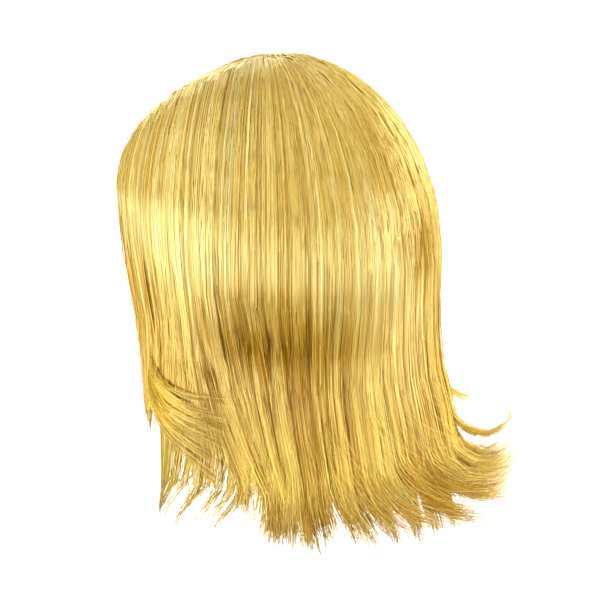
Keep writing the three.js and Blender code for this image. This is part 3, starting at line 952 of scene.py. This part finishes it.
def section_body(section, rng):
    """A shell below the strands from the parting to its own ragged end, with grooves between the locks."""
    across = np.linspace(0, 1, BODY_COLUMNS + 1)[None, :]
    lock = np.minimum(np.floor(across * LOCKS).astype(int), LOCKS - 1)
    end = section.body_drop + BODY_STAGGER * section.stagger * LOCK_STAGGER[lock]
    end = end + rng.normal(0, BODY_RAGGED, across.shape)
    stage = np.linspace(0, 2, BODY_ROWS + 1)[:, None] + 0 * across
    bearing = np.radians(lerp(section.start, section.end, across)) + 0 * stage
    drop = lerp(widest_drop(bearing), end, np.clip(stage - 1, 0, 1))
    inner_depth = section_depth(bearing, stage, drop)
    outer_depth = BODY_DEPTH + root_dip(stage) + groove_depth(across, stage)
    outer_depth = outer_depth + BODY_FALL_DEPTH * smooth(1, 1.4, stage)
    outer_depth = np.minimum(outer_depth, inner_depth - BODY_WALL)
    outer_depth = lerp(outer_depth, inner_depth - BODY_WALL, hairline(bearing, stage))
    inner_depth = lerp(inner_depth, outer_depth + BODY_WALL, smooth(1.5, 2, stage))
    bearing = bearing + leaning(bearing, drop)
    outer = combed_points(bearing, stage, outer_depth, end, 1.0, 0.0)
    inner = combed_points(bearing, stage, inner_depth, end, 1.0, 0.0)
    tone = BODY_TONE + BODY_STREAKS * streaks(bearing) + rng.normal(0, BODY_OWN_TONE, across.shape)
    return closed_shell(outer, inner, np.clip(tone, *TONE_LIMITS), stage)


print("the body is a grid of", BODY_ROWS, "by", BODY_COLUMNS, "faces on each side")

# %% Make the outer sections
for index, section in enumerate(SECTIONS):
    rng = np.random.default_rng(SEED + index)
    surfaces = [section_body(section, rng), section_strands(section, rng)]
    make_piece(section.name.replace("hair_", "strands_"), surfaces, hair_fibre, section.name)

# %% [markdown]
# ## The under rows
# Below the cap's rim hang longer rows of hair, which fill the neck and show as thin, spread ends below the
# outer locks and inside the face opening. They are the same strands without the dome, over a thin shell of
# their own, in a darker mix of tones because less light gets there.

# %% Form of the under rows
UNDER_DEPTH = 4.0
UNDER_GAP = 1.4
UNDER_RADIUS = 150.0
UNDER_TURN = np.radians(12)
UNDER_FLIP = 273.0
RIM_DROP = 116
RIM_TILT = 60
RIM_GAP = 3.0
TAB_DROP = 16
TAB_BEARING = np.radians(112)
TAB_HALF_WIDTH = np.radians(20)


class UnderRow(NamedTuple):
    name: str
    start: float
    end: float
    wisps: int
    strands: int
    lean: float
    tone: float


UNDER_ROWS = (
    UnderRow("under_left", 119, 62, 11, 300, 15, 0.75),
    UnderRow("under_back", 61, -61, 20, 1240, -5, 0.14),
    UnderRow("under_right", -62, -124, 11, 300, -13, 0.75),
)


def rim_drop(bearing):
    """Drop of the cap's rim: low at the nape, high at the face, with a rounded tab before each ear."""
    tab = TAB_DROP * np.exp(-((np.abs(bearing) - TAB_BEARING) / TAB_HALF_WIDTH) ** 2)
    return RIM_DROP + RIM_TILT * np.cos(bearing) + tab


def under_points(bearing, stage, inset):
    """Stage 1 to 2 hangs from the rim behind the outer hair, and 2 to 3 turns out a little."""
    drop = lerp(rim_drop(bearing) + RIM_GAP, UNDER_FLIP, np.clip(stage - 1, 0, 1))
    depth = hair_depth(bearing, drop) + UNDER_GAP + inset
    return hanging_points(bearing, drop, depth, UNDER_RADIUS, UNDER_TURN * np.clip(stage - 2, 0, None))


print("the rim is", round(float(rim_drop(0.0))), "mm below the top at the nape")

# %% Strands of an under row
UNDER_STEPS = np.arange(9) / 8
UNDER_LAST = 3.1
UNDER_EARLY = 0.9
UNDER_PULL = 0.45
UNDER_WISP_LEAN = 2.2
UNDER_OWN_LEAN = 1.0
UNDER_WIDTHS = (0.75, 1.2)
UNDER_TIP_DEPTH = 0.4
UNDER_TIP_WIDTH = 0.45
UNDER_STREAKS = 0.15
UNDER_OWN_TONE = 0.15


def under_strands(row, rng):
    """Strands through the whole thickness of the row; those at the sides lean forward towards their ends."""
    each = (row.strands, 1)
    across = side_by_side(row.strands, rng)
    wisp = np.floor(across * row.wisps).astype(int)
    last = UNDER_LAST - UNDER_EARLY * rng.random(each) ** 1.5
    stage = lerp(1, last, UNDER_STEPS)
    place = lerp(across, (wisp + 0.5) / row.wisps, UNDER_PULL * smooth(1.3, 3, stage))
    own_lean = rng.normal(0, UNDER_WISP_LEAN, row.wisps)[wisp] + rng.normal(0, UNDER_OWN_LEAN, each)
    lean = np.radians(row.lean + own_lean) * smooth(1.3, 3, stage) ** 1.5
    bearing = np.radians(lerp(row.start, row.end, place)) + lean
    inset = UNDER_DEPTH * rng.random(each) * lerp(1, UNDER_TIP_DEPTH, smooth(2, 3, stage))
    paths = under_points(bearing, stage, inset)
    outside = under_points(bearing, stage, inset - 1)
    taper = lerp(1, UNDER_TIP_WIDTH, smooth(1.5, 3, stage))
    widths = STRAND_HALF_WIDTH * rng.uniform(*UNDER_WIDTHS, each) * taper
    tone = row.tone + UNDER_STREAKS * streaks(bearing[:, :1]) + rng.normal(0, UNDER_OWN_TONE, each)
    tone = np.clip(tone, *TONE_LIMITS) + 0 * stage
    return strand_tubes(paths, outside - paths, widths, tone, stage)


print(sum(row.strands for row in UNDER_ROWS), "strands in", len(UNDER_ROWS), "under rows")

# %% Make the under rows
UNDER_SEED = SEED + 100
UNDER_BODY_ROWS = 6
UNDER_BODY_LAST = 1.84
UNDER_BODY_WAVE = 0.08
UNDER_BODY_RAGGED = 0.02
UNDER_BODY_DARKER = 0.1
UNDER_BODY_TONE = 0.1
UNDER_BODY_OUTER = 0.35
UNDER_BODY_INNER = 0.65


def under_body(row, rng):
    """A thin shell in the middle of the row, which ends in waves well above the strands."""
    across = np.linspace(0, 1, 4 * row.wisps + 1)[None, :]
    last = UNDER_BODY_LAST + UNDER_BODY_WAVE * np.cos(2 * np.pi * across * row.wisps)
    last = last + rng.normal(0, UNDER_BODY_RAGGED, across.shape)
    stage = lerp(1, last, np.linspace(0, 1, UNDER_BODY_ROWS + 1)[:, None])
    bearing = np.radians(lerp(row.start, row.end, across)) + 0 * stage
    tone = row.tone - UNDER_BODY_DARKER + UNDER_STREAKS * streaks(bearing)
    tone = np.clip(tone + rng.normal(0, UNDER_BODY_TONE, across.shape), *TONE_LIMITS)
    outer = under_points(bearing, stage, UNDER_BODY_OUTER * UNDER_DEPTH)
    inner = under_points(bearing, stage, UNDER_BODY_INNER * UNDER_DEPTH)
    return closed_shell(outer, inner, tone, stage)


for index, row in enumerate(UNDER_ROWS):
    rng = np.random.default_rng(UNDER_SEED + index)
    surfaces = [under_body(row, rng), under_strands(row, rng)]
    make_piece(row.name.replace("under", "lower_row"), surfaces, under_fibre, row.name)

# %% [markdown]
# ## The swept locks
# The shortest hair frames the face and is brushed back, so it crosses the side hair in a fan. It comes out
# from under the front hair, bends backwards and ends in separate tips. A path that bends is a curve with
# four control points, and here those points are bearings and drops, so that the lock stays on the form it
# lies on.

# %% The bend of a swept lock
SWEPT_UPPER = ((127, 140), (118, 212), (94, 218), (66, 214))
SWEPT_LOWER = ((132, 160), (120, 228), (96, 244), (68, 271))


def bend(points, share):
    """A smooth bend: the start and the end pull strongly at their ends, the two middle points in between."""
    rest = 1 - share
    weights = np.stack([rest ** 3, 3 * share * rest ** 2, 3 * share ** 2 * rest, share ** 3], -1)
    return weights @ np.array(points, float)


print("middle of the upper bend:", bend(SWEPT_UPPER, np.array(0.5)))

# %% Make the swept locks
SWEPT_SEED = SEED + 200
SWEPT_STRANDS = 300
SWEPT_STEPS = np.arange(13) / 12
SWEPT_WISPS = 10
SWEPT_EARLY = 0.34
SWEPT_PULL = 0.25
SWEPT_WISP_STRAY = 1.6
SWEPT_OWN_STRAY = 0.9
COMES_OUT = (0.22, 0.44)
COMES_OUT_RUN = 0.2
HIDDEN_DEPTH = 4.5
SWEPT_STAND = 1.6
SWEPT_TIP_SINK = 0.8
SWEPT_THICK = 1.8
SWEPT_WIDTHS = (0.7, 1.1)
SWEPT_TONE = 0.47
SWEPT_STREAKS = 0.15
SWEPT_STREAK_RATE = 9
SWEPT_OWN_TONE = 0.26
SWEPT_STAGES = 1.9


def swept_strands(side, rng):
    """Strands fan between the upper and the lower bend, rise from below the front hair, and end unevenly."""
    each = (SWEPT_STRANDS, 1)
    across = side_by_side(SWEPT_STRANDS, rng)
    wisp = np.floor(across * SWEPT_WISPS).astype(int)
    last = 1.0 - SWEPT_EARLY * rng.random(each) ** 1.2
    share = last * SWEPT_STEPS
    place = lerp(across, (wisp + 0.5) / SWEPT_WISPS, SWEPT_PULL * smooth(0.4, 1, share))
    route = lerp(bend(SWEPT_UPPER, share), bend(SWEPT_LOWER, share), place[..., None])
    stray = rng.normal(0, SWEPT_WISP_STRAY, SWEPT_WISPS)[wisp] + rng.normal(0, SWEPT_OWN_STRAY, each)
    drop = route[..., 1] + stray * smooth(0.4, 1, share)
    bearing = side * np.radians(route[..., 0])
    comes_out = rng.uniform(*COMES_OUT, each)
    stand = lerp(-HIDDEN_DEPTH, SWEPT_STAND, smooth(comes_out, comes_out + COMES_OUT_RUN, share))
    stand = stand - SWEPT_TIP_SINK * smooth(0.75, 1, share)
    stand = stand + SWEPT_THICK * rng.random(each) * np.sin(np.pi * share)
    paths = hanging_points(bearing, drop, -stand)
    outside = hanging_points(bearing, drop, -stand - 1)
    taper = lerp(1, TIP_WIDTH, smooth(0.5, 1, share))
    widths = STRAND_HALF_WIDTH * rng.uniform(*SWEPT_WIDTHS, each) * taper
    tone = SWEPT_TONE + SWEPT_STREAKS * streaks(SWEPT_STREAK_RATE * place[:, :1])
    tone = np.clip(tone + rng.normal(0, SWEPT_OWN_TONE, each), *TONE_LIMITS) + 0 * share
    return strand_tubes(paths, outside - paths, widths, tone, 1 + SWEPT_STAGES * share)


for name, side in (("swept_left", 1), ("swept_right", -1)):
    rng = np.random.default_rng(SWEPT_SEED + side)
    make_piece(name.replace("swept", "swept_strands"), [swept_strands(side, rng)], hair_fibre, name)

# %% [markdown]
# ## The cap
# Inside is the foundation that sits on the head: a stretch net with rows of sewn wefts. It could be a plain
# dome with a bumpy material, but the wefts are wide enough to show as ridges from below, so they are in the
# shape. The dome closes at its crown in one point, and its wall turns over at the rim. The net's mesh is too
# fine to model, so a cell pattern in the material gives its colour and its bumps.

# %% Cap shape
CAP_DEPTH = 15.6
CAP_INNER_DEPTH = 17.0
CAP_COLUMNS = 120
CAP_ROWS = 66
WEFT_SPACING = 9.0
WEFT_HEIGHT = 0.5
WEFT_HALF_WIDTH = 1.3


def cap_points(bearing, share, depth):
    """Rows run evenly down the dome and on below its widest line to the rim; a weft is a rounded ridge."""
    widest = widest_drop(bearing)
    rim = rim_drop(bearing)
    dome_run = widest * np.arccos(np.clip(1 - rim / widest, 0, 1))
    full_run = dome_run + np.maximum(0, rim - widest)
    run = full_run * share
    from_weft = np.mod(run, WEFT_SPACING) - WEFT_SPACING / 2
    ridged = depth - WEFT_HEIGHT * np.exp(-(from_weft / WEFT_HALF_WIDTH) ** 2)
    spread = np.sin(np.minimum(run, dome_run) / widest)
    x = HALF_BREADTH * np.sin(bearing) * spread
    y = HALF_LENGTH * np.cos(bearing) * spread
    hanging = hanging_points(bearing, widest + run - dome_run, ridged)
    return np.where((run > dome_run)[..., None], hanging, dome_points(x, y, ridged))


share = np.linspace(0, 1, CAP_ROWS + 1)[1:, None]
bearing = np.pi - 2 * np.pi * np.arange(CAP_COLUMNS)[None, :] / CAP_COLUMNS + 0 * share
outer = cap_points(bearing, share, CAP_DEPTH)
inner = cap_points(bearing, share, CAP_INNER_DEPTH)
crown = np.array([[0, 0, TOP - CAP_DEPTH], [0, 0, TOP - CAP_INNER_DEPTH]])
cap_corners = np.concatenate([crown, outer.reshape(-1, 3), inner.reshape(-1, 3)])
print(len(cap_corners), "points in the cap")

# %% Cap faces
o = 2 + np.arange(CAP_ROWS * CAP_COLUMNS).reshape(CAP_ROWS, CAP_COLUMNS)
i = o + o.size
o_next = np.roll(o, -1, 1)
i_next = np.roll(i, -1, 1)
cap_faces = [
    (o[:-1], o[1:], o_next[1:], o_next[:-1]),
    (i_next[:-1], i_next[1:], i[1:], i[:-1]),
    (o[-1], i[-1], i_next[-1], o_next[-1]),
]
cap_quads = np.concatenate([np.stack(corner, -1).reshape(-1, 4) for corner in cap_faces])
cap_fan = np.concatenate([
    np.stack([0 * o[0], o[0], o_next[0]], -1),
    np.stack([0 * i[0] + 1, i_next[0], i[0]], -1),
])
cap_surface = Surface(cap_corners, cap_quads, cap_fan, np.zeros((0, 2)))
print(len(cap_quads), "quads and", len(cap_fan), "triangles in the cap")

# %% Cap material
NET_SCALE = 700.0
NET_TONES = ((0.0, (0.66, 0.53, 0.34)), (0.25, (0.44, 0.33, 0.19)))
NET_BUMP = 0.5
NET_THICKNESS = 0.4 * MM
NET_ROUGHNESS = 0.85

net, net_tree, net_shader = new_material("cap_net")
net_place = net_tree.nodes.new("ShaderNodeTexCoord")
net_cells = net_tree.nodes.new("ShaderNodeTexVoronoi")
net_cells.feature = "DISTANCE_TO_EDGE"
net_cells.inputs["Scale"].default_value = NET_SCALE
net_tree.links.new(net_place.outputs["Object"], net_cells.inputs["Vector"])
net_colour = ramp(net_tree, net_cells.outputs["Distance"], NET_TONES)
net_tree.links.new(net_colour, net_shader.inputs["Base Color"])
net_bump = net_tree.nodes.new("ShaderNodeBump")
net_bump.invert = True
net_bump.inputs["Strength"].default_value = NET_BUMP
net_bump.inputs["Distance"].default_value = NET_THICKNESS
net_tree.links.new(net_cells.outputs["Distance"], net_bump.inputs["Height"])
net_tree.links.new(net_bump.outputs["Normal"], net_shader.inputs["Normal"])
net_shader.inputs["Roughness"].default_value = NET_ROUGHNESS
make_piece("net_cap", [cap_surface], net, "cap")

# %% [markdown]
# ## The triangles
# Strands may stand a little outside the solids, but the wig must keep its size. The last cell adds up the
# triangles of all pieces.

# %% Count the triangles
print(sum(TRIANGLES), "triangles in all")
